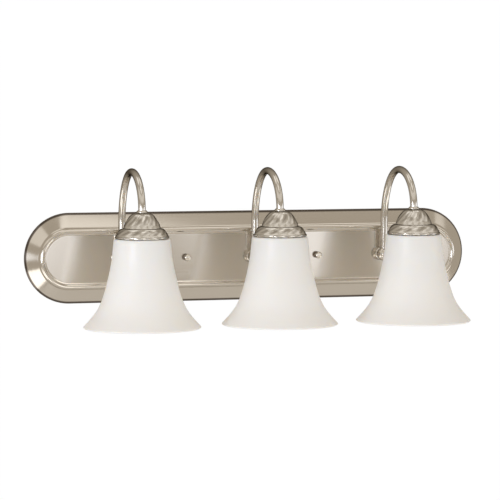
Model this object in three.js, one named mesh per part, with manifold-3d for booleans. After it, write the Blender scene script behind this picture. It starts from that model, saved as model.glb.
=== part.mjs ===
// Three-light vanity bar: a stadium-shaped backplate with three gooseneck arms,
// each holding a fitter, a lamp socket and a bell-shaped glass shade, mouth down.
// Millimetres. +Z is up, the wall is the plane y = 0 and the front faces -Y.
// The origin is the middle of the bar on the wall plane.
import * as THREE from 'three';
import { mergeVertices } from 'three/addons/utils/BufferGeometryUtils.js';
import Module from 'manifold-3d';

const wasm = await Module();
wasm.setup();

// ---------------------------------------------------------------- driving dimensions
const GAP = 0.3;                 // clearance left between pieces that touch

const BAR_LENGTH = 610;
const BAR_HEIGHT = 120;
const SHEET = 1.2;               // backplate steel
const PANEL_Y = -21.5;           // front of the flat middle panel
const BORDER_WIDTH = 19.3;       // from the bar's outline to the foot of the bead
const PANEL_INSET = 28.2;        // from the bar's outline to the flat panel
const BEAD_REACH = 3;            // the bead's ends stand this much nearer the bar's ends

const LAMP_PITCH = 181;
const AXIS_Y = -156;             // shade and socket axis, out from the wall
const LAMPS = [
  { side: 'left', x: -LAMP_PITCH, place: -1 },
  { side: 'middle', x: 0, place: 0 },
  { side: 'right', x: LAMP_PITCH, place: 1 },
];

const TUBE_R = 4.76;             // 3/8 inch arm tube
const TUBE_WALL = 1.0;
const ELBOW_Y = -34;
const ELBOW_R = 9;
const ELBOW_CAVITY_R = 6.2;
const TAIL_R = 4.7;              // threaded tail of the elbow, through the panel
const TAIL_END_Y = -13.5;
const TAIL_BORE_R = 2.9;
const FLANGE_R = 8.6;
const FLANGE_THICK = 2.2;
const WASHER_THICK = 1;
const ARM_NUT_THICK = 3.6;
const PANEL_REAR_Y = PANEL_Y + SHEET + GAP;
const LEG_Y = -35;               // rear leg of the arm where its arch springs
const REAR_SPRING_Z = 45;        // height at which the arch leaves the rear leg
const APEX_Y = -98;              // top of the arch, on the centreline
const APEX_Z = 116.5;
const FRONT_SPRING_Z = 70;       // height at which the arch meets its straight end
const TUBE_END_Z = 56;
const TUBE_FOOT_Z = 3.4;

const STUD_X = 90.6;             // the two cap nuts stand this far from the middle
const STUD_R = 2.05;
const THREAD_HOLE_R = 2.4;
const CAP_NUT_R = 4.5;
const CAP_NUT_LENGTH = 9.7;

const BAR_STRAP = { length: 206, height: 22, thick: 1.5 };
const STRAP_BACK_Y = -0.2;        // studs and screws end just short of the wall plane
const BOX_SCREW_X = 44.45;       // junction-box ears 3-1/2 inch apart
const GROUND_X = 20;

const HOLDER_Z = 1.4;             // the heights of the fitter, socket and shade start here
const FITTER_TOP_Z = 65.5;
const FITTER_SHEET = 1.1;
const BARREL_R = 19.7;           // threaded outside of the lamp socket
const SOCKET_MOUTH_Z = 8;
const SOCKET_TOP_Z = 59.6;
const SHADE_TOP_Z = 32.7;
const SHADE_HOLE_R = 21;
const RING_TOP_Z = 29;
const RING_BOTTOM_Z = 20.5;

const LEAD_R = 0.9;
const LEAD_X = 1.2;              // each lead's offset from the middle of the tube
const LEAD_END_Z = 45;
const LEAD_RUN_Z = 17;           // height at which the leads cross behind the panel
const LEAD_RUN_Y = -10;
const CONNECTOR_X = 26;          // twist-on connectors, either side of the middle arm
const CONNECTOR_MOUTH_Z = 25;
const CONNECTOR_LENGTH = 18;

// ---------------------------------------------------------------- materials
const finish = (color, roughness, metalness) =>
  new THREE.MeshStandardMaterial({ color, roughness, metalness });
const nickel = finish(0xb9b1a4, 0.35, 1);
const zinc = finish(0xb8bcc0, 0.4, 1);
const brass = finish(0xc9a550, 0.35, 1);
const porcelain = finish(0xf1eee6, 0.3, 0);
const opalGlass = finish(0xf2efea, 0.45, 0);
const blackSleeve = finish(0x1b1b1c, 0.6, 0);
const whiteSleeve = finish(0xe8e6e0, 0.6, 0);
const bareCopper = finish(0xb87546, 0.4, 1);
const greenScrew = finish(0x2f7d4a, 0.5, 0.3);
const orangeCap = finish(0xd9742b, 0.5, 0);
const yellowCap = finish(0xd9b62b, 0.5, 0);

// ---------------------------------------------------------------- solids
// A closed geometry as a solid, with its faces turned outward.
function solid(geometry) {
  const bare = geometry.index ? geometry.toNonIndexed() : geometry.clone();
  for (const name of Object.keys(bare.attributes)) {
    if (name !== 'position') bare.deleteAttribute(name);
  }
  const merged = mergeVertices(bare, 1e-4);
  const corners = merged.attributes.position.array;
  const kept = [];
  for (let i = 0; i < merged.index.count; i += 3) {
    const [a, b, c] = [0, 1, 2].map((k) => merged.index.getX(i + k));
    if (a !== b && b !== c && c !== a) kept.push(a, b, c);
  }
  const volume = signedVolume(corners, kept);
  const triVerts = new Uint32Array(volume < 0 ? kept.reverse() : kept);
  return new wasm.Manifold(new wasm.Mesh({ numProp: 3, vertProperties: corners, triVerts }));
}

function signedVolume(corners, faces) {
  const [a, b, c] = [new THREE.Vector3(), new THREE.Vector3(), new THREE.Vector3()];
  let sum = 0;
  for (let i = 0; i < faces.length; i += 3) {
    a.fromArray(corners, 3 * faces[i]);
    b.fromArray(corners, 3 * faces[i + 1]);
    c.fromArray(corners, 3 * faces[i + 2]);
    sum += a.dot(b.cross(c)) / 6;
  }
  return sum;
}

function geometryOf(body) {
  const mesh = body.getMesh();
  const geometry = new THREE.BufferGeometry();
  geometry.setAttribute('position', new THREE.BufferAttribute(mesh.vertProperties, 3));
  geometry.setIndex(new THREE.BufferAttribute(mesh.triVerts, 1));
  geometry.computeVertexNormals();
  return geometry;
}

function meshOf(name, body, material) {
  const mesh = new THREE.Mesh(geometryOf(body), material);
  mesh.name = name;
  return mesh;
}

// A turned piece about Z. Each point of the profile is [radius, z].
function turned(profile, segments) {
  const points = profile.map(([r, z]) => new THREE.Vector2(r, z));
  return solid(new THREE.LatheGeometry(points, segments).rotateX(Math.PI / 2));
}

// A turned ring or sleeve: the profile closes on itself.
function turnedRing(profile, segments) {
  return turned([...profile, profile[0]], segments);
}

// A turned piece about Y. Each point of the profile is [radius, y].
function turnedAboutY(profile, segments) {
  const points = profile.map(([r, y]) => new THREE.Vector2(r, y));
  return solid(new THREE.LatheGeometry(points, segments));
}

function rodY(radius, from, to, segments) {
  const rod = new THREE.CylinderGeometry(radius, radius, Math.abs(to - from), segments);
  return solid(rod.translate(0, (from + to) / 2, 0));
}

function rodZ(radius, from, to, segments) {
  const rod = new THREE.CylinderGeometry(radius, radius, Math.abs(to - from), segments);
  return solid(rod.rotateX(Math.PI / 2).translate(0, 0, (from + to) / 2));
}

function block(width, depth, height, x, y, z) {
  return solid(new THREE.BoxGeometry(width, depth, height).translate(x, y, z));
}

// A hexagonal nut about Y, its thread a plain round hole.
function hexNutY(flats, hole, from, to) {
  const corner = flats / Math.sqrt(3);
  const beyond = Math.sign(to - from);
  return rodY(corner, from, to, 6).subtract(rodY(hole, from - beyond, to + beyond, 10));
}

// A route through given points, one ring of the swept section at each of them.
class Route extends THREE.Curve {
  constructor(points) {
    super();
    this.points = points;
  }

  getPoint(t, target = new THREE.Vector3()) {
    const place = THREE.MathUtils.clamp(t, 0, 1) * (this.points.length - 1);
    const i = Math.min(Math.floor(place), this.points.length - 2);
    return target.lerpVectors(this.points[i], this.points[i + 1], place - i);
  }

  getUtoTmapping(u) {
    return u;
  }
}

function swept(points, radius, sides, innerRadius = 0, innerSides = 0) {
  const section = new THREE.Shape();
  section.setFromPoints(circlePoints(radius, sides));
  if (innerRadius > 0) {
    section.holes.push(new THREE.Path(circlePoints(innerRadius, innerSides)));
  }
  const route = new Route(points);
  const options = { steps: points.length - 1, extrudePath: route, curveSegments: 1 };
  return solid(new THREE.ExtrudeGeometry(section, options));
}

function circlePoints(radius, sides) {
  return Array.from({ length: sides }, (_, i) => {
    const angle = (2 * Math.PI * (i + 0.5)) / sides;
    return new THREE.Vector2(radius * Math.cos(angle), radius * Math.sin(angle));
  });
}

// ---------------------------------------------------------------- backplate
// Section of the pressed plate, each point as [inset from the outline, y]: first the
// front from the wall to the flat panel, then the back from the panel to the wall.
const PLATE_FRONT = [
  [0, 0], [0, -2.4], [1.2, -3.4], [BORDER_WIDTH, -17.2], [20.4, -20.2], [22.2, -22.4],
  [23.4, -23], [25.2, -22.5], [26.9, -21.2], [PANEL_INSET, PANEL_Y],
];
const PLATE_BACK = [
  [PANEL_INSET + 0.4, PANEL_Y + SHEET], [26.3, -20.2], [25, -21.3], [23.5, -21.8],
  [22.7, -21.2], [21.6, -19.3], [20.8, -17], [2.2, -2.5], [SHEET, -1.8], [SHEET, 0],
];

// Draws the bead and the panel out toward the bar's ends. The outline stays, the foot
// of the bead and all inside it move by BEAD_REACH, and the border stretches between.
function drawnOut(pan, radius, straight) {
  const geometry = geometryOf(pan);
  const corners = geometry.attributes.position;
  for (let i = 0; i < corners.count; i += 1) {
    const x = corners.getX(i);
    const past = Math.abs(x) - straight / 2;
    const inset = radius - Math.hypot(Math.max(past, 0), corners.getZ(i));
    const share = THREE.MathUtils.clamp(inset / BORDER_WIDTH, 0, 1);
    if (past > -1) corners.setX(i, x + Math.sign(x) * BEAD_REACH * share);
  }
  return solid(geometry);
}

function backplatePan() {
  const radius = BAR_HEIGHT / 2;
  const straight = BAR_LENGTH - BAR_HEIGHT;
  const outward = ([inset, y]) => [radius - inset, y];
  const front = PLATE_FRONT.map(outward);
  const back = PLATE_BACK.map(outward);
  const disc = turnedAboutY([[0, PANEL_Y + SHEET], ...back, ...front, [0, PANEL_Y]], 32);
  const half = block(radius + 5, 60, BAR_HEIGHT + 10, (radius + 5) / 2, 0, 0);
  const rightEnd = disc.intersect(half).translate([straight / 2, 0, 0]);
  const leftEnd = rightEnd.mirror([1, 0, 0]);
  const lower = (list) => list.map(([z, y]) => [-z, y]).reverse();
  const outline = [...front, ...lower(front), ...lower(back), ...back];
  const section = new THREE.Shape(outline.map(([z, y]) => new THREE.Vector2(z, y)));
  const run = new THREE.ExtrudeGeometry(section, { depth: straight, bevelEnabled: false });
  run.translate(0, 0, -straight / 2);
  run.applyMatrix4(new THREE.Matrix4().makeBasis(
    new THREE.Vector3(0, 0, 1), new THREE.Vector3(0, 1, 0), new THREE.Vector3(1, 0, 0),
  ));
  let pan = drawnOut(solid(run).add(rightEnd).add(leftEnd), radius, straight);
  for (const x of LAMPS.map((lamp) => lamp.x)) {
    pan = pan.subtract(rodY(TAIL_R + GAP, PANEL_Y - 3, 0, 20).translate([x, 0, 0]));
  }
  for (const x of [-STUD_X, STUD_X]) {
    pan = pan.subtract(rodY(THREAD_HOLE_R, PANEL_Y - 3, 0, 16).translate([x, 0, 0]));
  }
  return pan;
}

// ---------------------------------------------------------------- wall fixing
function mountingCrossbar() {
  const { length, height, thick } = BAR_STRAP;
  let strap = block(length, thick, height, 0, -thick / 2, 0);
  for (const x of [-STUD_X, STUD_X]) {
    strap = strap.subtract(rodY(THREAD_HOLE_R, -9, 9, 12).translate([x, 0, 0]));
  }
  for (const side of [-1, 1]) {
    const slot = block(14, 9, 5.2, side * BOX_SCREW_X, 0, 0);
    strap = strap.subtract(slot);
  }
  return strap.subtract(rodY(THREAD_HOLE_R, -9, 9, 12).translate([GROUND_X, 0, 0]));
}

// A round-headed screw about Y, cut off level with the back of the strap.
function strapScrew(shankR, headR, headHeight) {
  const seat = -BAR_STRAP.thick - GAP;
  return turnedAboutY([
    [0, STRAP_BACK_Y], [shankR, STRAP_BACK_Y], [shankR, seat], [headR, seat],
    [headR, seat - headHeight * 0.45], [headR * 0.7, seat - headHeight * 0.9],
    [0, seat - headHeight],
  ], 10);
}

function mountingStud() {
  return rodY(STUD_R, STRAP_BACK_Y, PANEL_Y - 6.4, 10);
}

function studNut() {
  const seat = -BAR_STRAP.thick - GAP;
  return hexNutY(8, THREAD_HOLE_R, seat, seat - 3.2);
}

function capNut() {
  const seat = PANEL_Y - GAP;
  const end = seat - CAP_NUT_LENGTH;
  return turnedAboutY([
    [THREAD_HOLE_R, seat], [CAP_NUT_R, seat], [CAP_NUT_R, end + 1.3], [CAP_NUT_R - 1.4, end],
    [0, end], [0, seat - 6.9], [THREAD_HOLE_R, seat - 6.9], [THREAD_HOLE_R, seat],
  ], 14);
}

function groundLead() {
  const start = new THREE.Vector3(GROUND_X + 5.8, -BAR_STRAP.thick - 1.8, 1);
  const points = [
    start, new THREE.Vector3(GROUND_X + 7, -5, 5), new THREE.Vector3(GROUND_X + 12, -8, 13),
    new THREE.Vector3(GROUND_X + 24, -8, 24), new THREE.Vector3(GROUND_X + 44, -8, 29),
    new THREE.Vector3(GROUND_X + 64, -8, 30),
  ];
  return swept(points, LEAD_R, 6);
}

// A twist-on wire connector about Z: a ribbed cone, open at its wide end.
function wireConnector() {
  return turned([
    [0, 0], [3, 0], [4.2, 3], [5.6, CONNECTOR_LENGTH - 5], [6.4, CONNECTOR_LENGTH],
    [4.6, CONNECTOR_LENGTH], [4, CONNECTOR_LENGTH - 8], [0, CONNECTOR_LENGTH - 8.4],
  ], 12);
}

// ---------------------------------------------------------------- arm
// Centreline of the tube from the elbow, up the rear leg, over and down to the fitter.
// The arch is two quarters of ellipses that meet at its top.
function armRoute(dx, footZ, endZ, quarterSteps) {
  const at = (y, z) => new THREE.Vector3(dx, y, z);
  const onQuarter = (springY, springZ, angle) => at(
    APEX_Y + (springY - APEX_Y) * Math.cos(angle),
    springZ + (APEX_Z - springZ) * Math.sin(angle),
  );
  const angles = Array.from({ length: quarterSteps + 1 }, (_, i) => (Math.PI * i) / 2 / quarterSteps);
  const rising = angles.map((angle) => onQuarter(LEG_Y, REAR_SPRING_Z, angle));
  const falling = angles.slice(0, -1).map((angle) => onQuarter(AXIS_Y, FRONT_SPRING_Z, angle));
  return [at(ELBOW_Y, footZ), at(ELBOW_Y - 0.2, 24), ...rising, ...falling.reverse(), at(AXIS_Y, endZ)];
}

function armTube() {
  const inner = TUBE_R - TUBE_WALL;
  return swept(armRoute(0, TUBE_FOOT_Z, TUBE_END_Z, 8), TUBE_R, 10, inner, 6);
}

// A ball that turns the run of the wires from the wall to the tube. A neck and a
// threaded tail reach back through the panel.
function armElbow() {
  const ball = solid(new THREE.SphereGeometry(ELBOW_R, 14, 8)).translate([0, ELBOW_Y, 0]);
  const neckEnd = PANEL_Y - GAP - FLANGE_THICK - GAP;
  const neck = rodY(6.2, ELBOW_Y, neckEnd, 12);
  const tail = rodY(TAIL_R, ELBOW_Y, TAIL_END_Y, 12);
  const cavity = solid(new THREE.SphereGeometry(ELBOW_CAVITY_R, 8, 6)).translate([0, ELBOW_Y, 0]);
  const seat = rodZ(TUBE_R + GAP, 3.1, ELBOW_R + 3, 10).translate([0, ELBOW_Y, 0]);
  const bore = rodY(TAIL_BORE_R, ELBOW_Y, TAIL_END_Y + 3, 8);
  return ball.add(neck).add(tail).subtract(cavity).subtract(seat).subtract(bore);
}

function armFlange() {
  const seat = PANEL_Y - GAP;
  return turnedAboutY([
    [TAIL_R + GAP, seat], [FLANGE_R, seat], [FLANGE_R, seat - 1],
    [FLANGE_R - 1.4, seat - FLANGE_THICK], [TAIL_R + GAP, seat - FLANGE_THICK],
    [TAIL_R + GAP, seat],
  ], 14);
}

function armWasher() {
  const washer = rodY(8.5, PANEL_REAR_Y, PANEL_REAR_Y + WASHER_THICK, 12);
  return washer.subtract(rodY(TAIL_R + GAP, PANEL_REAR_Y - 1, PANEL_REAR_Y + 3, 12));
}

function armNut() {
  const seat = PANEL_REAR_Y + WASHER_THICK + GAP;
  return hexNutY(14, TAIL_R + GAP, seat, seat + ARM_NUT_THICK);
}

// ---------------------------------------------------------------- fitter and socket
function tubeCollar() {
  const seat = FITTER_TOP_Z + GAP;
  const hole = TUBE_R + GAP;
  return turnedRing([
    [hole, seat], [7.4, seat], [7.4, seat + 1], [6.2, seat + 1.9], [5.8, seat + 2.8],
    [hole, seat + 2.8],
  ], 12);
}

// Outline of the fitter from its top hole to its lip, and back up the inside.
function fitterCup() {
  const hole = TUBE_R + GAP;
  const under = FITTER_TOP_Z - FITTER_SHEET;
  return turnedRing([
    [hole, FITTER_TOP_Z], [9, FITTER_TOP_Z], [14.1, 62.9], [19.2, 56.6], [23.4, 46.9],
    [27.2, 45.2], [30.2, 42.4], [33.2, 36.4], [34.6, 35.2], [34.2, 33.1], [32.6, 33.1],
    [28.6, 42.4], [22.2, 45.8], [17.9, 56], [8.6, under], [hole, under],
  ], 24);
}

function fitterNut() {
  const seat = FITTER_TOP_Z - FITTER_SHEET - GAP;
  const nut = rodZ(14 / Math.sqrt(3), seat - 3.4, seat, 6);
  return nut.subtract(rodZ(TUBE_R + GAP, seat - 5, seat + 1, 10));
}

function socketBody() {
  const hub = TUBE_R + GAP;
  return turnedRing([
    [hub, SOCKET_TOP_Z], [8, SOCKET_TOP_Z], [8, 54.4], [15, 53], [BARREL_R, 49.6],
    [BARREL_R, SOCKET_MOUTH_Z + 1], [BARREL_R - 1, SOCKET_MOUTH_Z], [14.6, SOCKET_MOUTH_Z],
    [14.6, 36], [3.6, 36], [3.6, 40], [12, 40], [12, 49.4], [hub, 51.4],
  ], 16);
}

function screwShell() {
  const outer = 14.3;
  return turnedRing([
    [outer, SOCKET_MOUTH_Z + 1.6], [outer, 35.6], [6.4, 35.6], [6.4, 34.9], [outer - 0.8, 34.9],
    [outer - 0.8, SOCKET_MOUTH_Z + 1.6],
  ], 14);
}

function centreContact() {
  return turned([[0, 32.2], [3, 32.2], [5, 33.2], [5, 34], [2.4, 34], [2.4, 42], [0, 42]], 10);
}

function shadeRing() {
  const hole = BARREL_R + GAP + 0.1;
  return turnedRing([
    [hole, RING_BOTTOM_Z], [24, RING_BOTTOM_Z], [24.6, RING_TOP_Z - 2], [27, RING_TOP_Z - 2],
    [27, RING_TOP_Z], [hole, RING_TOP_Z],
  ], 18);
}

// The bell: a flat shoulder clamped under the fitter, a long waist and a flared rim.
function glassShade() {
  return turnedRing([
    [SHADE_HOLE_R, SHADE_TOP_Z], [34, SHADE_TOP_Z], [36, 31], [38.2, 8.9], [43.3, -17.7],
    [47.1, -32.5], [51.8, -46.9], [56.4, -56.4], [61.5, -64], [75.2, -79.4], [74.2, -80.8],
    [58.8, -66.2], [48.9, -48.2], [44, -33.4], [40, -18], [34.6, 12], [32.6, 29.4],
    [SHADE_HOLE_R, 29.4],
  ], 26);
}

// ---------------------------------------------------------------- leads
// Each lead runs from its socket through the arm, out behind the panel and along to
// its connector. Leads of one colour stand side by side in the connector's mouth.
function socketLead(lampX, place, polarity) {
  const along = (point) => new THREE.Vector3(point.x + lampX, point.y, point.z);
  const arm = armRoute(polarity * LEAD_X, 11, LEAD_END_Z, 6).map(along).reverse();
  const x = lampX + polarity * LEAD_X;
  const mouthX = polarity * CONNECTOR_X + place * 2.5;
  const side = Math.sign(mouthX - x);
  const spread = LEAD_RUN_Y - place * 2.4;
  const bends = [
    [x, ELBOW_Y + 0.8, 4.4], [x, ELBOW_Y + 3, 1.4], [x, ELBOW_Y + 5.6, 0.3], [x, ELBOW_Y + 8, 0],
    [x, TAIL_END_Y - 1, 0], [x, TAIL_END_Y + 1, polarity * 0.4], [x, TAIL_END_Y + 3, polarity * 2.2],
    [x + side * 0.6, spread, polarity * 7], [x + side * 5, spread, polarity * (LEAD_RUN_Z - 2.6)],
    [x + side * 11, spread, polarity * LEAD_RUN_Z],
    [mouthX - side * 8, spread, polarity * LEAD_RUN_Z],
    [mouthX - side * 2.4, spread, polarity * (LEAD_RUN_Z + 1.6)],
    [mouthX, LEAD_RUN_Y, polarity * (CONNECTOR_MOUTH_Z - 1)],
    [mouthX, LEAD_RUN_Y, polarity * (CONNECTOR_MOUTH_Z + 6)],
  ];
  return swept([...arm, ...bends.map(([px, py, pz]) => new THREE.Vector3(px, py, pz))], LEAD_R, 5);
}

// ---------------------------------------------------------------- assembly
const bar = new THREE.Group();

function place(parent, name, body, material, x = 0, y = 0, z = 0) {
  const mesh = meshOf(name, body, material);
  mesh.position.set(x, y, z);
  parent.add(mesh);
  return mesh;
}

place(bar, 'backplate_pan', backplatePan(), nickel);
place(bar, 'mounting_crossbar', mountingCrossbar(), zinc);
place(bar, 'ground_screw', strapScrew(2, 4.4, 2.4), greenScrew, GROUND_X);
place(bar, 'ground_lead', groundLead(), bareCopper);
for (const [side, sign] of [['left', -1], ['right', 1]]) {
  place(bar, `box_screw_${side}`, strapScrew(2, 4.6, 2.8), zinc, sign * BOX_SCREW_X);
  place(bar, `mounting_stud_${side}`, mountingStud(), zinc, sign * STUD_X);
  place(bar, `stud_nut_${side}`, studNut(), zinc, sign * STUD_X);
  place(bar, `cap_nut_${side}`, capNut(), nickel, sign * STUD_X);
}

const connectorMouth = CONNECTOR_MOUTH_Z + CONNECTOR_LENGTH;
const black = place(bar, 'black_connector', wireConnector(), orangeCap, -CONNECTOR_X, LEAD_RUN_Y);
black.position.z = -connectorMouth;
const white = place(bar, 'white_connector', wireConnector(), yellowCap, CONNECTOR_X, LEAD_RUN_Y);
white.position.z = connectorMouth;
white.rotation.x = Math.PI;

for (const { side, x, place: order } of LAMPS) {
  const lamp = new THREE.Group();
  lamp.position.x = x;
  bar.add(lamp);
  const holder = new THREE.Group();
  holder.position.set(0, AXIS_Y, HOLDER_Z);
  lamp.add(holder);
  place(lamp, `arm_flange_${side}`, armFlange(), nickel);
  place(lamp, `arm_elbow_${side}`, armElbow(), nickel);
  place(lamp, `arm_washer_${side}`, armWasher(), zinc);
  place(lamp, `arm_nut_${side}`, armNut(), zinc);
  place(lamp, `arm_tube_${side}`, armTube(), nickel);
  place(holder, `tube_collar_${side}`, tubeCollar(), nickel);
  place(holder, `fitter_cup_${side}`, fitterCup(), nickel);
  place(holder, `fitter_nut_${side}`, fitterNut(), zinc);
  place(holder, `socket_body_${side}`, socketBody(), porcelain);
  place(holder, `screw_shell_${side}`, screwShell(), brass);
  place(holder, `centre_contact_${side}`, centreContact(), brass);
  place(holder, `shade_ring_${side}`, shadeRing(), nickel);
  place(holder, `glass_shade_${side}`, glassShade(), opalGlass);
  place(bar, `black_lead_${side}`, socketLead(x, order, -1), blackSleeve);
  place(bar, `white_lead_${side}`, socketLead(x, order, 1), whiteSleeve);
}

export default bar;
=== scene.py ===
import math

import bmesh
import bpy
from mathutils import Matrix, Vector


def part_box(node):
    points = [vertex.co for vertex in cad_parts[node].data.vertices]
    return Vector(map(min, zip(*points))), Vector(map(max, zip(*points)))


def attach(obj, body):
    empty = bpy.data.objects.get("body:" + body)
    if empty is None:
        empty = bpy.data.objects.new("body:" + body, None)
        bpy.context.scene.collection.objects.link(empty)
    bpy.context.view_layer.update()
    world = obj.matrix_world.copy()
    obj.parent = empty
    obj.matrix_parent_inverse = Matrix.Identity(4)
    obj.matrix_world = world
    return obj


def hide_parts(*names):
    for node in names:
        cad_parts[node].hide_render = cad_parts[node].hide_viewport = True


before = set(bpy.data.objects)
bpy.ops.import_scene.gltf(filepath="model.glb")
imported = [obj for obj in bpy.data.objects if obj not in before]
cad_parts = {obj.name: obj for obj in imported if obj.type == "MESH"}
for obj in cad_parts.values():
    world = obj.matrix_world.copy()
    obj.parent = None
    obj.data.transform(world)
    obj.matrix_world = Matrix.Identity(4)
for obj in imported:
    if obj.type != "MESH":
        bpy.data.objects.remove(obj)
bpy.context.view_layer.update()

# ---------------------------------------------------------------- camera
# A long lens to the left of the bar and a little above it, so that the bar runs
# slightly away to the right.
view = bpy.data.cameras.new("view")
view.sensor_width = 36
view.lens = 172.5
camera = bpy.data.objects.new("camera", view)
camera.location = (-0.843, -3.104, 0.2246)
camera.rotation_euler = (math.radians(86.12), 0, math.radians(-15.24))
bpy.context.scene.collection.objects.link(camera)
bpy.context.scene.camera = camera


# ---------------------------------------------------------------- studio
# A pale floor well below the bar, a white surround that only the camera sees, and
# soft boxes whose reflections give the metal its light and dark bands.
MM = 0.001


class Value:
    """A socket of a finish, on which Python's operators add Math nodes."""

    def __init__(self, finish, socket):
        self.finish = finish
        self.socket = socket

    def __add__(self, other):
        return self.finish.sum("ADD", self, other)

    def __radd__(self, other):
        return self.finish.sum("ADD", other, self)

    def __sub__(self, other):
        return self.finish.sum("SUBTRACT", self, other)

    def __rsub__(self, other):
        return self.finish.sum("SUBTRACT", other, self)

    def __mul__(self, other):
        return self.finish.sum("MULTIPLY", self, other)

    def __rmul__(self, other):
        return self.finish.sum("MULTIPLY", other, self)


class Finish:
    """A material: its Principled shader and the nodes that feed it."""

    def __init__(self, name, shader_values):
        self.material = bpy.data.materials.new(name)
        self.material.use_nodes = True
        self.tree = self.material.node_tree
        self.shader = self.tree.nodes["Principled BSDF"]
        for socket, value in shader_values.items():
            self.feed(self.shader, socket, value)

    def feed(self, node, socket, value):
        """Sets a socket, or links it where the value is another node's."""
        if isinstance(value, Value):
            self.tree.links.new(value.socket, node.inputs[socket])
        elif isinstance(value, tuple) and node.inputs[socket].type == "RGBA":
            node.inputs[socket].default_value = (*value, 1)
        else:
            node.inputs[socket].default_value = value

    def node(self, kind, settings, sockets, output=0):
        """Adds a node: its settings first, then the values or links of its sockets."""
        made = self.tree.nodes.new(kind)
        for name, value in settings.items():
            setattr(made, name, value)
        for socket, value in sockets.items():
            self.feed(made, socket, value)
        return Value(self, made.outputs[output])

    def sum(self, operation, first, second):
        return self.node("ShaderNodeMath", {"operation": operation}, {0: first, 1: second})

    def mix(self, factor, first, second):
        return self.node("ShaderNodeMix", {"data_type": "RGBA"}, {0: factor, 6: first, 7: second}, 2)

    def place(self, scale=(1, 1, 1), source="Object"):
        """Where a point lies on the piece, in metres, stretched by scale."""
        where = self.node("ShaderNodeTexCoord", {}, {}, source)
        return self.node("ShaderNodeMapping", {}, {"Vector": where, "Scale": scale})

    def noise(self, place, scale, detail=2.0):
        return self.node("ShaderNodeTexNoise", {}, {"Vector": place, "Scale": scale, "Detail": detail})

    def ramp(self, value, low, high, start=0.0, end=1.0):
        """Start where value is low or less, end where it is high or more."""
        sockets = {"Value": value, "From Min": low, "From Max": high, "To Min": start, "To Max": end}
        return self.node("ShaderNodeMapRange", {}, sockets)

    def relief(self, height, distance, strength=1.0):
        """Bumps of that height, in metres, on the shader's normal."""
        sockets = {"Height": height, "Distance": distance, "Strength": strength}
        self.feed(self.shader, "Normal", self.node("ShaderNodeBump", {}, sockets))

    def colour(self, value):
        self.feed(self.shader, "Base Color", value)

    def roughness(self, value):
        self.feed(self.shader, "Roughness", value)


SHARP_FROM = math.radians(38)


def mesh_object(name, made, finish):
    """A mesh object from a bmesh, smooth but for its sharp edges."""
    for face in made.faces:
        face.smooth = True
    for edge in made.edges:
        if edge.is_boundary or edge.calc_face_angle(0) > SHARP_FROM:
            edge.smooth = False
    mesh = bpy.data.meshes.new(name)
    made.to_mesh(mesh)
    made.free()
    mesh.materials.append(finish.material)
    thing = bpy.data.objects.new(name, mesh)
    bpy.context.scene.collection.objects.link(thing)
    return thing


FLOOR_Z = -2.2
FLOOR_R = 3
SURROUND_R = 12
floor_paint = Finish("floor_paint", {"Base Color": (0.82, 0.81, 0.79), "Roughness": 0.6})
floor_paint.relief(floor_paint.noise(floor_paint.place(), 40), 0.0004, 0.3)
made = bmesh.new()
below = Matrix.Translation((0, -0.3, FLOOR_Z))
bmesh.ops.create_circle(made, cap_ends=True, radius=FLOOR_R, segments=96, matrix=below)
floor = mesh_object("floor", made, floor_paint)

surround_paint = Finish("surround_paint", {
    "Base Color": (0, 0, 0), "Roughness": 1.0,
    "Emission Color": (1, 1, 1), "Emission Strength": 1.0,
})
made = bmesh.new()
bmesh.ops.create_icosphere(made, subdivisions=4, radius=SURROUND_R)
bmesh.ops.reverse_faces(made, faces=made.faces)
surround = mesh_object("surround", made, surround_paint)
surround.visible_diffuse = False
surround.visible_glossy = False
surround.visible_transmission = False
surround.visible_shadow = False

world = bpy.data.worlds.new("room")
world.use_nodes = True
world.node_tree.nodes["Background"].inputs["Color"].default_value = (0.48, 0.43, 0.36, 1)
bpy.context.scene.world = world
bpy.context.scene.view_settings.view_transform = "Standard"

# rows of like soft boxes: degrees round from the front towards the right, degrees up,
# metres across, watts each, tint
WHITE = (1, 1, 1)
COOL = (0.92, 0.98, 1.1)
SOFT_BOXES = {
    "key": ((-50,), 0, 0.9, 17, COOL),
    "right": ((75,), 0, 0.75, 3, COOL),
    "front": ((-90, -20, 0, 20, 45), 0, 0.75, 1.1, COOL),
    "high": ((-80, -40, 0, 40, 80), 35, 1.35, 1.7, WHITE),
    "low": ((-90, -45, 0, 45, 90), -35, 1.35, 6, WHITE),
    "top": ((-120, 0, 120), 68, 1.35, 2.8, WHITE),
}
BOX_DISTANCE = 2.6
BAR_MIDDLE = Vector((0, -0.08, 0.02))


def soft_box(name, around, up, size, power, tint):
    """A round soft box that faces the middle of the bar."""
    lamp = bpy.data.lights.new(name, "AREA")
    lamp.shape = "DISK"
    lamp.size = size
    lamp.energy = power
    lamp.color = tint
    around, up = math.radians(around), math.radians(up)
    away = Vector((math.cos(up) * math.sin(around), -math.cos(up) * math.cos(around), math.sin(up)))
    box = bpy.data.objects.new(name, lamp)
    box.location = BAR_MIDDLE + away * BOX_DISTANCE
    box.rotation_euler = (-away).to_track_quat("-Z", "Y").to_euler()
    box.visible_camera = False
    bpy.context.scene.collection.objects.link(box)


for name, (directions, *values) in SOFT_BOXES.items():
    for around in directions:
        soft_box(name, around, *values)


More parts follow.
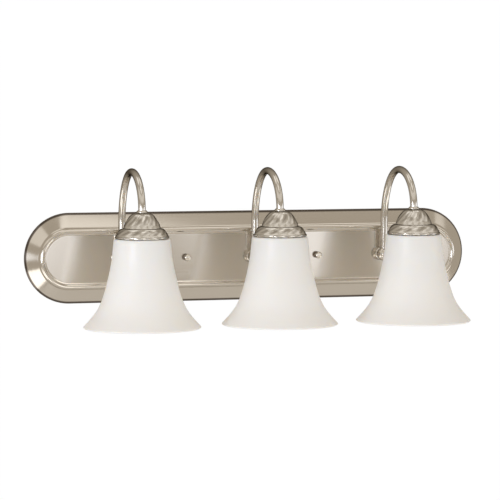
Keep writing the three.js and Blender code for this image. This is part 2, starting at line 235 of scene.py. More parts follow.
# ---------------------------------------------------------------- backplate
# One pan of 1.2 mm steel, pressed to a racetrack shape with a sloped border, a round
# bead and a flat panel. Nickel plated, then brushed along its length.
SHEET = 1.2
PAN_SECTION = [
    (0, 0), (0, -2.5, 0.9), (19.3, -17.2, 1.2), (20.5, -20.6, 1.3), (22.6, -22.8, 1.5),
    (24.8, -22.9, 1.5), (26.9, -20.9, 0.9), (28.5, -21.5, 0.6), (30, -21.5),
]
BORDER_WIDTH = 19.3
BEAD_REACH = 3
TAIL_HOLE_R = 5.0
STUD_HOLE_R = 2.4
STUD_X = 90.6
pan_low, pan_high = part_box("backplate_pan")
END_R = pan_high.z / MM
STRAIGHT = (pan_high.x - pan_low.x) / MM - 2 * END_R
PANEL_Y = -21.5
GAP = 0.3
lamps = {}
for side in ("left", "middle", "right"):
    low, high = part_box("glass_shade_" + side)
    lamps[side] = (low + high).x / 2 / MM


def wire(points, closed=False):
    """A run of edges through (across, up) points in the XZ plane, in millimetres.
    A third number rounds the corner, from that far along each of its edges."""
    made = bmesh.new()
    run = [made.verts.new((point[0] * MM, 0, point[1] * MM)) for point in points]
    for pair in zip(run, run[1:] + run[:1] if closed else run[1:]):
        made.edges.new(pair)
    for corner, point in zip(run, points):
        if len(point) > 2:
            bmesh.ops.bevel(made, geom=[corner], offset=point[2] * MM, segments=4, affect="VERTICES",
                            profile=0.5, material=-1)
    return made


def merged(made):
    """Merges doubles and turns the faces outward."""
    bmesh.ops.remove_doubles(made, verts=made.verts, dist=1e-6)
    bmesh.ops.recalc_face_normals(made, faces=made.faces)
    return made


def moved(made, x=0.0, y=0.0, z=0.0):
    bmesh.ops.translate(made, verts=made.verts, vec=(x * MM, y * MM, z * MM))
    return made


def piece(name, made, finish, body, slot, *nodes):
    """A finished piece that rides on a body and stands for CAD nodes."""
    thing = mesh_object(name, made, finish)
    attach(thing, body)
    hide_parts(*nodes)
    return thing


def thickened(thing, wall, edge=0.0):
    """Gives a skin its wall, inward, and rounds the wall's cut edges."""
    skin = thing.modifiers.new("wall", "SOLIDIFY")
    skin.thickness = wall * MM
    skin.offset = -1
    skin.use_even_offset = True
    if edge:
        softened = thing.modifiers.new("edge", "BEVEL")
        softened.width = edge * MM
        softened.segments = 3
        softened.limit_method = "ANGLE"
        softened.angle_limit = math.radians(50)
    return thing


def stadium_pan():
    made = wire([(END_R - point[0], point[1], *point[2:]) for point in PAN_SECTION])
    # the section stands at the top of the right end: across is now up, and up is y
    upright = Matrix(((0, 0, 0, 0), (0, 0, 1, 0), (1, 0, 0, 0), (0, 0, 0, 1)))
    bmesh.ops.transform(made, matrix=upright, verts=made.verts)
    moved(made, x=STRAIGHT / 2)
    section = made.verts[:] + made.edges[:]
    half_turn = bmesh.ops.spin(
        made, geom=section, cent=(STRAIGHT / 2 * MM, 0, 0), axis=(0, 1, 0),
        angle=math.pi, steps=48, use_merge=False,
    )["geom_last"]
    edges = [part for part in half_turn if isinstance(part, bmesh.types.BMEdge)]
    for loop in (edges, [part for part in section if isinstance(part, bmesh.types.BMEdge)]):
        grown = bmesh.ops.extrude_edge_only(made, edges=loop)["geom"]
        corners = [part for part in grown if isinstance(part, bmesh.types.BMVert)]
        bmesh.ops.translate(made, verts=corners, vec=(-STRAIGHT / 2 * MM, 0, 0))
    # the bead and the panel reach farther toward the bar's end than the outline's arc
    for corner in made.verts:
        past = max(corner.co.x / MM - STRAIGHT / 2, 0)
        inset = END_R - math.hypot(past, corner.co.z / MM)
        if corner.co.x > 1e-6:
            corner.co.x += BEAD_REACH * MM * min(max(inset / BORDER_WIDTH, 0), 1)
    bmesh.ops.mirror(made, geom=made.verts[:] + made.edges[:] + made.faces[:], axis="X", merge_dist=1e-6)
    bmesh.ops.remove_doubles(made, verts=made.verts, dist=1e-6)
    edges = [edge for edge in made.edges if edge.is_boundary
             and abs(edge.verts[0].co.y - PANEL_Y * MM) < 1e-5]
    holes = [(x, TAIL_HOLE_R) for x in lamps.values()]
    holes += [(x, STUD_HOLE_R) for x in (-STUD_X, STUD_X)]
    for x, radius in holes:
        turned_up = Matrix.Translation((x * MM, PANEL_Y * MM, 0)) @ Matrix.Rotation(math.pi / 2, 4, "X")
        before = set(made.edges)
        bmesh.ops.create_circle(made, radius=radius * MM, segments=32, matrix=turned_up)
        edges += [edge for edge in made.edges if edge not in before]
    bmesh.ops.triangle_fill(made, use_beauty=True, use_dissolve=False, edges=edges, normal=(0, -1, 0))
    return merged(made)


plate_nickel = Finish("plate_nickel", {"Metallic": 1.0})
grain = plate_nickel.noise(plate_nickel.place((16, 1400, 1400)), 1.0, 3.0)
broad = plate_nickel.noise(plate_nickel.place((3, 30, 30)), 1.0, 2.0)
depth = plate_nickel.node("ShaderNodeSeparateXYZ", {}, {0: plate_nickel.place()}, 1)
# The pan's side wall is painted near black from the wall out to 4.2 mm, fading out by 5.2 mm: painted shade
# along its outline.
painted_edge_shade = plate_nickel.ramp(depth, -0.0052, -0.0042)
face = plate_nickel.mix(grain * 0.5 + broad * 0.3, (0.68, 0.635, 0.57), (0.76, 0.715, 0.65))
plate_nickel.colour(plate_nickel.mix(painted_edge_shade, face, (0.13, 0.11, 0.095)))
plate_nickel.roughness(0.12 + grain * 0.06)
plate_nickel.relief(grain, 0.00001, 0.12)
backplate = piece("backplate", stadium_pan(), plate_nickel, "fixture", "brushed_nickel", "backplate_pan")
thickened(backplate, SHEET)


# ---------------------------------------------------------------- wall strap
# A flat zinc-plated steel strap, slotted for the two screws of the junction box. Its
# two studs reach forward through the plate, each locked by a hexagonal nut.
STRAP = (206, 22, 1.5)
STRAP_SLOT = (14, 5.2)
BOX_SCREW_X = 44.45
GROUND_X = 20
SCREW_END_Y = -0.2
STUD_R = 2.0
STUD_PITCH = 0.8
STUD_THREAD = 0.12


def ring_of(radius, sides, x=0.0, z=0.0):
    """Corners of a regular polygon or a circle, flat on the wall plane."""
    angles = [math.tau * (i + 0.5) / sides for i in range(sides)]
    return [(x + radius * math.cos(angle), z + radius * math.sin(angle)) for angle in angles]


def rectangle(width, height, corner, x=0.0):
    """Corners of a rectangle with round corners, flat on the wall plane."""
    run = []
    for turn in range(4):
        right = 1 if turn in (0, 3) else -1
        top = 1 if turn < 2 else -1
        for step in range(5):
            angle = math.tau / 4 * (turn + step / 4)
            across = right * (width / 2 - corner) + corner * math.cos(angle)
            run.append((x + across, top * (height / 2 - corner) + corner * math.sin(angle)))
    return run


def flat_piece(outlines, back, front, edge=0.2):
    """A flat piece with holes: its outer outline first, then its holes, all flat on the
    wall plane, from y = back to y = front."""
    made = bmesh.new()
    for run in outlines:
        corners = [made.verts.new((across * MM, back * MM, up * MM)) for across, up in run]
        for pair in zip(corners, corners[1:] + corners[:1]):
            made.edges.new(pair)
    bmesh.ops.triangle_fill(made, use_beauty=True, use_dissolve=True, edges=made.edges[:], normal=(0, 1, 0))
    grown = bmesh.ops.extrude_face_region(made, geom=made.faces[:])["geom"]
    corners = [part for part in grown if isinstance(part, bmesh.types.BMVert)]
    bmesh.ops.translate(made, verts=corners, vec=(0, (front - back) * MM, 0))
    merged(made)
    crisp = [rim for rim in made.edges if rim.calc_face_angle(0) > math.radians(50)]
    flat_rims = [rim for rim in crisp if abs(rim.verts[0].co.y - rim.verts[1].co.y) < 1e-6]
    bmesh.ops.bevel(made, geom=flat_rims, offset=edge * MM, segments=2, affect="EDGES",
                    profile=0.5, material=-1, clamp_overlap=True)
    for rim in made.edges:
        level = {abs(face.normal.y) > 0.999 for face in rim.link_faces}
        rim.smooth = len(level) == 1
    return made


def turned(points, steps=72, closed=False):
    """A piece turned about Z from (radius, height) points. Its map runs once round the
    axis across, and along the section upward, in metres."""
    made = wire(points, closed)
    bmesh.ops.spin(
        made, geom=made.verts[:] + made.edges[:], cent=(0, 0, 0), axis=(0, 0, 1),
        angle=math.tau, steps=steps, use_merge=True,
    )
    merged(made)
    outward = sum(face.normal.xy.dot(face.calc_center_median().xy) * face.calc_area() for face in made.faces)
    if outward < 0:
        bmesh.ops.reverse_faces(made, faces=made.faces)
    round_map = made.loops.layers.uv.new("round")
    for face in made.faces:
        turns = [math.atan2(loop.vert.co.y, loop.vert.co.x) / math.tau % 1 for loop in face.loops]
        for loop, turn in zip(face.loops, turns):
            radius = loop.vert.co.xy.length
            loop[round_map].uv = (turn + (max(turns) - turn > 0.5), loop.vert.co.z - 0.4 * radius)
    return made


def forward(made, x=0.0, y=0.0, z=0.0):
    """Turns a piece from upright to facing the front, then sets it in place."""
    bmesh.ops.transform(made, matrix=Matrix.Rotation(math.pi / 2, 4, "X"), verts=made.verts)
    return moved(made, x, y, z)


def joined(*parts):
    """Several closed bodies in one bmesh."""
    whole = bmesh.new()
    for part in parts:
        carried = bpy.data.meshes.new("carried")
        part.to_mesh(carried)
        part.free()
        whole.from_mesh(carried)
        bpy.data.meshes.remove(carried)
    return whole


zinc = Finish("bright_zinc", {"Metallic": 1.0})
spangle = zinc.noise(zinc.place(), 260, 3.0)
zinc.colour(zinc.mix(spangle, (0.62, 0.64, 0.66), (0.80, 0.82, 0.84)))
zinc.roughness(0.22 + spangle * 0.22)
zinc.relief(spangle, 0.00008, 0.4)

slots = [rectangle(*STRAP_SLOT, 2.5, side * BOX_SCREW_X) for side in (-1, 1)]
holes = [ring_of(STUD_HOLE_R, 24, x) for x in (-STUD_X, STUD_X, GROUND_X)]
strap = flat_piece([rectangle(STRAP[0], STRAP[1], 3), *slots, *holes], 0, -STRAP[2])
piece("strap", strap, zinc, "fixture", "zinc_plate", "mounting_crossbar")


def screw(shank, head, height):
    """A round-headed screw, from its cut end at the wall to its head."""
    seat = STRAP[2] + GAP
    end = -SCREW_END_Y
    return turned([
        (0, end), (shank, end, 0.3), (shank, seat), (head, seat, 0.2), (head, seat + height * 0.4, 0.6),
        (head * 0.72, seat + height * 0.9, 0.6), (0, seat + height),
    ], 32)


def stud(length):
    """A threaded rod: its thread winds up round it as a fine ridge."""
    heights = [row * STUD_PITCH / 4 for row in range(int(length / STUD_PITCH * 4))]
    made = turned([(0, 0), *((STUD_R, height) for height in heights), (0, heights[-1])], 20)
    for corner in made.verts:
        around = math.atan2(corner.co.y, corner.co.x) / math.tau
        ridge = abs((corner.co.z / MM / STUD_PITCH - around) % 1 - 0.5) * 2
        corner.co.xy *= 1 - STUD_THREAD * ridge
    return made


for side, sign in (("left", -1), ("right", 1)):
    piece("box_screw_fine_" + side, forward(screw(2, 4.6, 2.8), sign * BOX_SCREW_X), zinc,
          "fixture", "zinc_plate", "box_screw_" + side)
    piece("stud_" + side, forward(stud(27.6), sign * STUD_X, SCREW_END_Y), zinc,
          "fixture", "zinc_plate", "mounting_stud_" + side)
    locknut = flat_piece([ring_of(4.6, 6), ring_of(2.35, 24)], -1.8, -5.0, 0.35)
    piece("locknut_" + side, moved(locknut, sign * STUD_X), zinc, "fixture", "zinc_plate", "stud_nut_" + side)

green = Finish("green_lacquer", {"Metallic": 0.3, "Coat Weight": 0.4})
mottle = green.noise(green.place(), 700)
green.colour(green.mix(mottle, (0.03, 0.20, 0.08), (0.07, 0.32, 0.14)))
green.roughness(0.30 + mottle * 0.2)
ground_screw = forward(screw(2, 4.4, 2.4), GROUND_X)
piece("ground_screw_fine", ground_screw, green, "fixture", "green_screw", "ground_screw")


# ---------------------------------------------------------------- cap nuts
# Two round nuts with a knurled side and a domed, polished end. They screw onto the
# studs and hold the plate to the wall. Nickel-plated brass.
CAP_NUT_KNURLS = 20
CAP_NUT_R = 4.45
knurled_nickel = Finish("knurled_nickel", {"Metallic": 1.0})
wear = knurled_nickel.noise(knurled_nickel.place(), 900, 3.0)
depth = knurled_nickel.node("ShaderNodeSeparateXYZ", {}, {0: knurled_nickel.place()}, 1)
# The nut's knurled side is painted dark brown from the plate to within about 2 mm of its domed end: painted
# shade on the side, its edge made ragged by the wear noise.
painted_side_shade = knurled_nickel.ramp(depth + wear * 0.0012, -0.0302, -0.0290)
end_face = knurled_nickel.mix(wear, (0.72, 0.66, 0.57), (0.88, 0.84, 0.76))
knurled_nickel.colour(knurled_nickel.mix(painted_side_shade, end_face, (0.17, 0.125, 0.08)))
knurled_nickel.roughness(0.14 + wear * 0.14)


def cap_nut():
    steps = CAP_NUT_KNURLS * 2
    made = turned([
        (0, 9.7), (2.6, 9.7, 0.5), (4.1, 8.6, 0.3), (CAP_NUT_R, 8.1), (CAP_NUT_R, 1.3), (4.0, 0.8, 0.2),
        (4.0, 0), (2.4, 0), (2.4, 6.9), (0, 6.9),
    ], steps)
    for corner in made.verts:
        radius = corner.co.xy.length
        notch = round(math.atan2(corner.co.y, corner.co.x) / math.tau * steps) % 2
        if radius > (CAP_NUT_R - 0.03) * MM and notch:
            corner.co.xy *= 0.93
    return made


for side, sign in (("left", -1), ("right", 1)):
    made = forward(cap_nut(), sign * STUD_X, PANEL_Y - GAP)
    piece("thumb_nut_" + side, made, knurled_nickel, "nut_" + side, "nut_nickel", "cap_nut_" + side)


# ---------------------------------------------------------------- arms
# A gooseneck of 3/8 inch steel tube rises from each ball elbow, arches over and comes
# down to its fitter. The elbow's threaded tail passes through a round flange and the
# plate, where a washer and a nut hold it.
TUBE_R = 4.76
TUBE_WALL = 1.0
TUBE_HOLE_R = 5.06
NUT_R = 8.05
ELBOW_Y = -34
ELBOW_R = 9
TAIL_R = 4.7
TAIL_END_Y = -13.5
PANEL_BACK_Y = PANEL_Y + SHEET
LEG_Y = -35
REAR_SPRING_Z = 45
APEX = (-98, 116.5)
FRONT_SPRING_Z = 70
TUBE_FOOT_Z = 3.4
TUBE_END_Z = 56
glass_low, glass_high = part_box("glass_shade_middle")
AXIS_Y = (glass_low + glass_high).y / 2 / MM
HOLDER_Z = glass_high.z / MM - 32.7


def arm_route(dx, foot, end, steps):
    """Middle line of an arm, in millimetres: up the rear leg, over an arch of two
    quarters of ellipses, and down to the fitter."""
    def on_quarter(spring_y, spring_z, turn):
        across = APEX[0] + (spring_y - APEX[0]) * math.cos(turn)
        return Vector((dx, across, spring_z + (APEX[1] - spring_z) * math.sin(turn)))

    turns = [math.pi / 2 * i / steps for i in range(steps + 1)]
    rising = [on_quarter(LEG_Y, REAR_SPRING_Z, turn) for turn in turns]
    falling = [on_quarter(AXIS_Y, FRONT_SPRING_Z, turn) for turn in turns[:-1]]
    leg = [Vector((dx, ELBOW_Y, foot)), Vector((dx, ELBOW_Y - 0.2, 24))]
    return [*leg, *rising, *reversed(falling), Vector((dx, AXIS_Y, end))]


def swept(route, radius, sides, capped=False):
    """A round bar: one ring carried along a route given in millimetres. Its map runs
    round the bar across, and along it upward, in metres."""
    made = bmesh.new()
    tangents = [(there - here).normalized() for here, there in zip(route, route[1:])]
    tangents = [tangents[0], *((a + b).normalized() for a, b in zip(tangents, tangents[1:])), tangents[-1]]
    heading = Vector((0, 0, 1)).rotation_difference(tangents[0])
    frames = []
    for point, before, tangent in zip(route, [tangents[0], *tangents], tangents):
        heading = before.rotation_difference(tangent) @ heading
        frames.append(Matrix.Translation(point * MM) @ heading.to_matrix().to_4x4())
    bmesh.ops.create_circle(made, radius=radius * MM, segments=sides, matrix=frames[0])
    ring = made.edges[:]
    spot = {corner: (i / sides, 0.0) for i, corner in enumerate(made.verts)}
    length = 0.0
    for here, there in zip(frames, frames[1:]):
        length += (there.translation - here.translation).length
        grown = bmesh.ops.extrude_edge_only(made, edges=ring)["geom"]
        corners = [part for part in grown if isinstance(part, bmesh.types.BMVert)]
        ring = [part for part in grown if isinstance(part, bmesh.types.BMEdge)
                and all(corner in corners for corner in part.verts)]
        for corner in corners:
            rung = next(edge for edge in corner.link_edges if edge not in ring)
            spot[corner] = (spot[rung.other_vert(corner)][0], length)
        bmesh.ops.transform(made, matrix=there @ here.inverted(), verts=corners)
    round_map = made.loops.layers.uv.new("round")
    for face in made.faces:
        turns = [spot[loop.vert][0] for loop in face.loops]
        for loop, turn in zip(face.loops, turns):
            loop[round_map].uv = (turn + (max(turns) - turn > 0.5), spot[loop.vert][1])
    if capped:
        bmesh.ops.holes_fill(made, edges=made.edges[:], sides=sides)
    bmesh.ops.recalc_face_normals(made, faces=made.faces)
    return made


# The near-black Specular Tint darkens the nickel's reflections at its edges: a painted dark edge reflection.
arm_nickel = Finish("arm_nickel", {"Metallic": 1.0, "Specular Tint": (0.1, 0.09, 0.08)})
lengthwise = arm_nickel.noise(arm_nickel.place((60, 12, 1), "UV"), 1.0, 4.0)
cloudy = arm_nickel.noise(arm_nickel.place(), 45, 2.0)
arm_nickel.colour(arm_nickel.mix(lengthwise * 0.5 + cloudy * 0.4, (0.67, 0.635, 0.58), (0.77, 0.74, 0.69)))
arm_nickel.roughness(0.13 + lengthwise * 0.04)
arm_nickel.relief(lengthwise, 0.000004, 0.05)

# The near-black Specular Tint darkens the nickel's reflections at its edges: a painted dark edge reflection.
cast_nickel = Finish("cast_nickel", {"Metallic": 1.0, "Specular Tint": (0.1, 0.09, 0.08)})
skin = cast_nickel.noise(cast_nickel.place(), 500, 3.0)
cast_nickel.colour(cast_nickel.mix(skin, (0.62, 0.58, 0.52), (0.78, 0.74, 0.68)))
cast_nickel.roughness(0.09 + skin * 0.08)
cast_nickel.relief(skin, 0.00002, 0.15)


def elbow():
    """A ball with a seat for the tube on top, and its hollow neck and tail."""
    rim = math.acos(TUBE_HOLE_R / ELBOW_R)
    arc = [rim - (rim + math.pi / 2) * i / 28 for i in range(29)]
    outside = [(ELBOW_R * math.cos(turn), ELBOW_R * math.sin(turn)) for turn in arc]
    outside[-1] = (0, -ELBOW_R)
    ball = moved(turned([(0, 3.1), (TUBE_HOLE_R, 3.1), *outside], 48), y=ELBOW_Y)
    neck_end = 24.3
    tail = turned([
        (2.9, -ELBOW_Y - 5), (6.2, -ELBOW_Y - 5), (6.2, neck_end, 0.4), (TAIL_R, neck_end - 0.2),
        (TAIL_R, -TAIL_END_Y, 0.5), (2.9, -TAIL_END_Y),
    ], 40, closed=True)
    return joined(ball, forward(tail))


def toothed_ring(tip, root, teeth):
    """Corners of a toothed outline, flat on the wall plane: out to a tip and back by turns."""
    angles = [math.tau * i / (2 * teeth) for i in range(2 * teeth)]
    radii = [tip, root] * teeth
    return [(radius * math.cos(angle), radius * math.sin(angle)) for radius, angle in zip(radii, angles)]


for side, x in lamps.items():
    flange = turned([(5, 0), (8.6, 0, 0.2), (8.6, 1.1, 0.5), (7.2, 2.2, 0.5), (5, 2.2, 0.2)], 56, closed=True)
    piece("flange_" + side, forward(flange, x, PANEL_Y - GAP), cast_nickel,
          "fixture", "brushed_nickel", "arm_flange_" + side)
    piece("elbow_" + side, moved(elbow(), x), cast_nickel, "fixture", "brushed_nickel", "arm_elbow_" + side)
    tube = swept(arm_route(x, TUBE_FOOT_Z, TUBE_END_Z, 30), TUBE_R, 36)
    arm = piece("arm_" + side, tube, arm_nickel, "fixture", "brushed_nickel", "arm_tube_" + side)
    thickened(arm, TUBE_WALL)
    outlines = [toothed_ring(8.5, 7.7, 20), ring_of(5, 32)]
    washer = flat_piece(outlines, PANEL_BACK_Y + GAP, PANEL_BACK_Y + 1.3, 0.15)
    piece("washer_" + side, moved(washer, x), zinc, "fixture", "zinc_plate", "arm_washer_" + side)
    nut = flat_piece([ring_of(NUT_R, 6), ring_of(5, 32)], PANEL_BACK_Y + 1.6, PANEL_BACK_Y + 5.2, 0.5)
    piece("nut_behind_" + side, moved(nut, x), zinc, "fixture", "zinc_plate", "arm_nut_" + side)


# ---------------------------------------------------------------- fitters
# A domed cup with a flared skirt, pressed from sheet, its dome and skirt fluted in a
# slow twist. A small collar covers the hole where the tube comes in, and a nut
# inside holds the cup to the tube.
FLUTES = 14
FITTER_SHEET = 1.1
FITTER_DOME = [(TUBE_HOLE_R, 65.5), (9, 65.2), (14.1, 62.9), (19.2, 56.6), (22.2, 51), (23.4, 46.7)]
FITTER_SKIRT = [(23.6, 46.2), (27.2, 45.2), (30.2, 42.4), (32.3, 38.8), (33.2, 36.6)]
FITTER_LIP = [(33.3, 36.3), (34.5, 35.6), (34.7, 34.6), (34.2, 33.4), (33.4, 33.1)]


def eased(points, steps):
    """Points on one smooth curve through the given ones. The nearer neighbour of each
    point sets how far the curve keeps its slope there."""
    run = [Vector(point) for point in points]
    spans = [there - here for here, there in zip(run, run[1:])]
    spans = [spans[0], *spans, spans[-1]]
    slopes = [(before.normalized() + after.normalized()) * min(before.length, after.length) / 2
              for before, after in zip(spans, spans[1:])]
    curve = []
    for here, there, leave, arrive in zip(run, run[1:], slopes, slopes[1:]):
        for step in range(steps):
            t = step / steps
            square = (3 * (there - here) - 2 * leave - arrive) * t ** 2
            cube = (leave + arrive - 2 * (there - here)) * t ** 3
            curve.append(here + leave * t + square + cube)
    return [tuple(point) for point in [*curve, run[-1]]]


def fluted(made, bottom, top, turn_per_mm, deep):
    """Presses twisted flutes into a turned skin between two heights, and notes how deep each point lies in
    its groove, for the shade that the fitter's finish paints into its grooves."""
    layers = made.verts.layers.float
    groove_shade = layers.get("groove_shade") or layers.new("groove_shade")
    for corner in made.verts:
        height = corner.co.z / MM
        if bottom < height < top:
            fade = math.sin(math.pi * (height - bottom) / (top - bottom)) ** 0.5
            around = math.atan2(corner.co.y, corner.co.x) * FLUTES - (height - bottom) * turn_per_mm
            press = 0.5 + 0.5 * math.cos(around)
            corner.co.xy *= 1 - deep * MM * press * fade / corner.co.xy.length
            corner[groove_shade] = press * fade
    return made


# The near-black Specular Tint darkens the nickel's reflections at its edges: a painted dark edge reflection.
fitter_nickel = Finish("fitter_nickel", {"Metallic": 1.0, "Specular Tint": (0.1, 0.09, 0.08)})
satin = fitter_nickel.noise(fitter_nickel.place((5, 700, 1), "UV"), 1.0, 3.0)
tone = fitter_nickel.noise(fitter_nickel.place(), 70, 2.0)
raised = fitter_nickel.mix(satin * 0.4 + tone * 0.5, (0.72, 0.69, 0.64), (0.92, 0.89, 0.84))
groove_shade = fitter_nickel.node("ShaderNodeAttribute", {"attribute_name": "groove_shade"}, {}, 2)
# The flute grooves are painted darker, towards (0.34, 0.31, 0.27) where deepest: painted shade in the
# grooves.
fitter_nickel.colour(fitter_nickel.mix(groove_shade * 0.62 + tone * 0.15, raised, (0.34, 0.31, 0.27)))
fitter_nickel.roughness(0.17 + satin * 0.08)
fitter_nickel.relief(satin, 0.00001, 0.2)

for side, x in lamps.items():
    collar = turned([
        (TUBE_HOLE_R, 65.8), (7.4, 65.8, 0.3), (7.4, 66.9, 0.5), (6.2, 67.7, 0.4), (5.8, 68.6, 0.4),
        (TUBE_HOLE_R, 68.6),
    ], 48, closed=True)
    piece("collar_" + side, moved(collar, x, AXIS_Y, HOLDER_Z), cast_nickel,
          "fixture", "brushed_nickel", "tube_collar_" + side)
    made = turned([*eased(FITTER_DOME, 8), *eased(FITTER_SKIRT, 7), *eased(FITTER_LIP, 3)], FLUTES * 14)
    fluted(made, 48.5, 64.5, 0.5, 0.34)
    fluted(made, 37.5, 45.2, 0.8, 0.36)
    fluted(made, 33.15, 36.2, 1.6, 0.4)
    cup = piece("fitter_" + side, moved(made, x, AXIS_Y, HOLDER_Z), fitter_nickel,
                "fixture", "brushed_nickel", "fitter_cup_" + side)
    thickened(cup, FITTER_SHEET)
    lock = flat_piece([ring_of(NUT_R, 6), ring_of(TUBE_HOLE_R, 32)], 0, -3.4, 0.5)
    bmesh.ops.transform(lock, matrix=Matrix.Rotation(math.pi / 2, 4, "X"), verts=lock.verts)
    piece("cup_nut_" + side, moved(lock, x, AXIS_Y, HOLDER_Z + 64.1), zinc,
          "fixture", "zinc_plate", "fitter_nut_" + side)


# ---------------------------------------------------------------- lamp sockets
# A glazed porcelain body, threaded outside for the shade ring. Inside sit a rolled
# brass shell, which takes the bulb's screw base, and a sprung centre contact.
BARREL_R = 19.7
SOCKET_MOUTH_Z = 8
THREAD_PITCH = 2.2
SHELL_PITCH = 3.6
SHELL_WALL = 0.35

porcelain = Finish("porcelain_glaze", {"Coat Weight": 0.5, "Coat Roughness": 0.08})
speck = porcelain.noise(porcelain.place(), 160, 3.0)
porcelain.colour(porcelain.mix(speck, (0.86, 0.84, 0.79), (0.93, 0.915, 0.88)))
porcelain.roughness(0.18 + speck * 0.1)

brass = Finish("rolled_brass", {"Metallic": 1.0})
tarnish = brass.noise(brass.place(), 120, 4.0)
brass.colour(brass.mix(tarnish, (0.62, 0.44, 0.18), (0.86, 0.66, 0.34)))
brass.roughness(0.2 + tarnish * 0.2)


def threaded(made, pitch, deep, inner, outer, bottom, top):
    """Raises a screw thread on the turned faces between two radii and two heights."""
    for corner in made.verts:
        radius, height = corner.co.xy.length / MM, corner.co.z / MM
        if inner < radius < outer and bottom <= height <= top:
            around = math.atan2(corner.co.y, corner.co.x) / math.tau
            wave = 0.5 - 0.5 * math.cos(math.tau * (height / pitch - around))
            corner.co.xy *= (radius - deep * wave) / radius
    return made


def rows(radius, low, high, spacing):
    """Points straight up a wall, close enough together to carry a thread."""
    count = round((high - low) / spacing)
    return [(radius, low + (high - low) * i / count) for i in range(count + 1)]


for side, x in lamps.items():
    body = turned([
        (TUBE_HOLE_R, 59.6), (8, 59.6, 0.4), (8, 54.4, 0.6), (15, 53, 1.0), (BARREL_R, 49.6, 0.6),
        *reversed(rows(BARREL_R, 9, 49, THREAD_PITCH / 6)), (BARREL_R - 1, SOCKET_MOUTH_Z, 0.3),
        (14.6, SOCKET_MOUTH_Z, 0.3), (14.6, 36), (3.6, 36), (3.6, 40), (12, 40), (12, 49.4),
        (TUBE_HOLE_R, 51.4),
    ], 64, closed=True)
    threaded(body, THREAD_PITCH, 0.7, BARREL_R - 0.1, BARREL_R + 0.1, 10, 48)
    piece("socket_" + side, moved(body, x, AXIS_Y, HOLDER_Z), porcelain,
          "fixture", "porcelain", "socket_body_" + side)
    shell = turned([*rows(14.2, 9.6, 35.4, SHELL_PITCH / 8), (6.4, 35.6, 0.3)], 56)
    threaded(shell, SHELL_PITCH, 0.8, 14.1, 14.3, 11, 34)
    shell = piece("shell_" + side, moved(shell, x, AXIS_Y, HOLDER_Z), brass,
                  "fixture", "brass", "screw_shell_" + side)
    thickened(shell, SHELL_WALL)
    tongue = turned([
        (0, 32.2), (3, 32.3, 0.8), (5, 33.4, 0.4), (5, 34, 0.2), (2.4, 34), (2.4, 42), (0, 42),
    ], 32)
    piece("contact_" + side, moved(tongue, x, AXIS_Y, HOLDER_Z), brass,
          "fixture", "brass", "centre_contact_" + side)


# ---------------------------------------------------------------- glass shades
# A bell of blown opal glass, etched to a satin outside: a flat shoulder with a round
# hole, a long waist and a flared mouth with a ground edge. It hangs on the threaded
# nickel ring inside it.
GLASS_WALL = 2.4
SHOULDER_SECTION = [(21, 32.65), (33.6, 32.65), (35.2, 32.1)]
SHADE_SECTION = [
    (36.0, 30.6), (37.1, 20), (38.2, 8.9), (40.3, -4), (43.3, -17.7), (47.1, -32.5), (51.8, -46.9),
    (56.4, -56.4), (61.5, -64), (68.6, -72.4), (75.0, -79.2),
]
RING_R = 26.9
RING_STEPS = 96

opal = Finish("opal_glass", {
    "IOR": 1.5, "Subsurface Weight": 0.7, "Subsurface Radius": (0.012, 0.010, 0.008),
    "Subsurface Scale": 0.5, "Coat Weight": 0.15, "Coat Roughness": 0.25,
})
milk = opal.noise(opal.place((12, 12, 4)), 1.0, 3.0)
etch = opal.noise(opal.place(), 1400, 2.0)
opal.colour(opal.mix(milk, (0.935, 0.925, 0.905), (0.955, 0.935, 0.915)))
opal.roughness(0.34 + etch * 0.12)
opal.relief(etch, 0.00002, 0.3)

ring_nickel = Finish("ring_nickel", {"Metallic": 1.0})
lathe_marks = ring_nickel.noise(ring_nickel.place((2, 3000, 1), "UV"), 1.0, 3.0)
ring_nickel.colour(ring_nickel.mix(lathe_marks, (0.60, 0.57, 0.53), (0.76, 0.73, 0.69)))
ring_nickel.roughness(0.2 + lathe_marks * 0.15)
ring_nickel.relief(lathe_marks, 0.00003, 0.5)

for side, x in lamps.items():
    bell = turned([*SHOULDER_SECTION, *eased(SHADE_SECTION, 5)], 128)
    shade = piece("shade_glass_" + side, moved(bell, x, AXIS_Y, HOLDER_Z), opal,
                  "shade_" + side, "opal_glass", "glass_shade_" + side)
    thickened(shade, GLASS_WALL, 0.7)
    grip = turned([
        (20.1, 20.5), (23.6, 20.5, 0.5), (24.4, 27, 0.3), (RING_R, 27, 0.3), (RING_R, 29, 0.3), (20.1, 29),
    ], RING_STEPS, closed=True)
    for corner in grip.verts:
        notch = round(math.atan2(corner.co.y, corner.co.x) / math.tau * RING_STEPS) % 4
        if corner.co.xy.length > (RING_R - 0.4) * MM and notch == 0:
            corner.co.xy *= 0.975
    piece("clamp_ring_" + side, moved(grip, x, AXIS_Y, HOLDER_Z), ring_nickel,
          "ring_" + side, "ring_nickel", "shade_ring_" + side)


# ---------------------------------------------------------------- wiring
# One black and one white lead from each socket, up through the arm and out behind
# the plate to a twist-on connector, and a bare copper lead from the ground screw.
LEAD_R = 0.9
LEAD_X = 1.2
LEAD_END_Z = 45
LEAD_RUN_Y = -10
LEAD_RUN_Z = 17
CONNECTOR_X = 26
CONNECTOR_MOUTH_Z = 25
CONNECTOR_LENGTH = 18


def sleeve(name, dark, light):
    finish = Finish(name, {})
    scuff = finish.noise(finish.place((8, 90, 1), "UV"), 1.0, 3.0)
    finish.colour(finish.mix(scuff, dark, light))
    finish.roughness(0.4 + scuff * 0.25)
    return finish


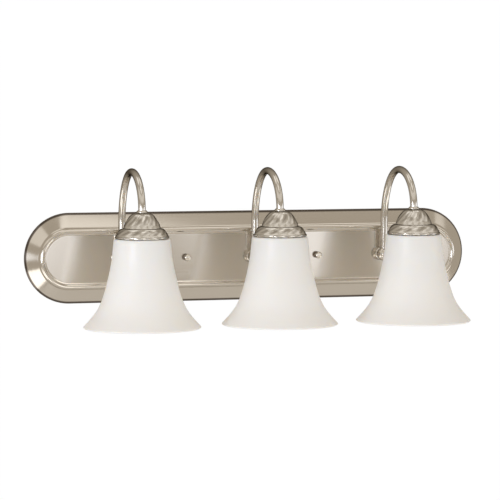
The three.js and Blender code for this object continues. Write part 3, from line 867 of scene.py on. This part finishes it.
def socket_lead(lamp_x, order, polarity):
    """Route of a lead, in millimetres: order is the lamp's place along the bar, and
    polarity sets the black leads below and the white ones above."""
    x = lamp_x + polarity * LEAD_X
    mouth = polarity * CONNECTOR_X + order * 2.5
    way = math.copysign(1, mouth - x)
    level = LEAD_RUN_Y - order * 2.4
    arm = [Vector((point.x + lamp_x, point.y, point.z)) for point in
           arm_route(polarity * LEAD_X, 11, LEAD_END_Z, 8)]
    bends = [
        (x, ELBOW_Y + 0.8, 4.4), (x, ELBOW_Y + 3, 1.4), (x, ELBOW_Y + 5.6, 0.3), (x, ELBOW_Y + 8, 0),
        (x, TAIL_END_Y - 1, 0), (x, TAIL_END_Y + 1, polarity * 0.4), (x, TAIL_END_Y + 3, polarity * 2.2),
        (x + way * 0.6, level, polarity * 7), (x + way * 5, level, polarity * (LEAD_RUN_Z - 2.6)),
        (x + way * 11, level, polarity * LEAD_RUN_Z), (mouth - way * 8, level, polarity * LEAD_RUN_Z),
        (mouth - way * 2.4, level, polarity * (LEAD_RUN_Z + 1.6)),
        (mouth, LEAD_RUN_Y, polarity * (CONNECTOR_MOUTH_Z - 1)),
        (mouth, LEAD_RUN_Y, polarity * (CONNECTOR_MOUTH_Z + 6)),
    ]
    return [*reversed(arm), *(Vector(bend) for bend in bends)]


black_sleeve = sleeve("black_sleeve", (0.012, 0.012, 0.013), (0.05, 0.05, 0.052))
white_sleeve = sleeve("white_sleeve", (0.66, 0.65, 0.61), (0.84, 0.83, 0.80))
for order, (side, x) in enumerate(lamps.items(), -1):
    for polarity, colour, finish in ((-1, "black", black_sleeve), (1, "white", white_sleeve)):
        route = [Vector(point) for point in eased(socket_lead(x, order, polarity), 3)]
        piece(colour + "_wire_" + side, swept(route, LEAD_R, 10, capped=True), finish,
              "fixture", colour + "_sleeve", colour + "_lead_" + side)

copper = Finish("bare_copper", {"Metallic": 1.0})
dull = copper.noise(copper.place(), 300, 3.0)
copper.colour(copper.mix(dull, (0.50, 0.24, 0.12), (0.80, 0.46, 0.30)))
copper.roughness(0.25 + dull * 0.25)
ground_route = [
    (GROUND_X + 5.8, -3.3, 1), (GROUND_X + 7, -5, 5), (GROUND_X + 12, -8, 13), (GROUND_X + 24, -8, 24),
    (GROUND_X + 44, -8, 29), (GROUND_X + 64, -8, 30),
]
smooth_route = [Vector(point) for point in eased(ground_route, 6)]
ground_wire = swept(smooth_route, LEAD_R, 10, capped=True)
piece("ground_wire", ground_wire, copper, "fixture", "bare_copper", "ground_lead")


def connector():
    """A ribbed cone, open at its wide end."""
    made = turned([
        (0, 0), (3, 0, 0.8), (4.2, 3, 0.8), (5.6, CONNECTOR_LENGTH - 5, 0.8),
        (6.3, CONNECTOR_LENGTH - 0.4, 0.3), (6.3, CONNECTOR_LENGTH), (4.6, CONNECTOR_LENGTH),
        (4, CONNECTOR_LENGTH - 8), (0, CONNECTOR_LENGTH - 8.4),
    ], 48)
    for corner in made.verts:
        rib = round(math.atan2(corner.co.y, corner.co.x) / math.tau * 48) % 4
        if rib == 0 and 1 < corner.co.z / MM < CONNECTOR_LENGTH - 3 and corner.co.xy.length > 4.1 * MM:
            corner.co.xy *= 0.93
    return made


def moulded(name, dark, light):
    finish = Finish(name, {})
    grain = finish.noise(finish.place(), 500, 3.0)
    finish.colour(finish.mix(grain, dark, light))
    finish.roughness(0.38 + grain * 0.2)
    finish.relief(grain, 0.00005, 0.4)
    return finish


connector_foot = CONNECTOR_MOUTH_Z + CONNECTOR_LENGTH
orange = moulded("orange_cap", (0.62, 0.20, 0.04), (0.80, 0.32, 0.09))
piece("orange_connector", moved(connector(), -CONNECTOR_X, LEAD_RUN_Y, -connector_foot), orange,
      "fixture", "orange_cap", "black_connector")
made = connector()
bmesh.ops.rotate(made, verts=made.verts, matrix=Matrix.Rotation(math.pi, 3, "X"))
yellow = moulded("yellow_cap", (0.62, 0.46, 0.04), (0.82, 0.66, 0.12))
piece("yellow_connector", moved(made, CONNECTOR_X, LEAD_RUN_Y, connector_foot), yellow,
      "fixture", "yellow_cap", "white_connector")
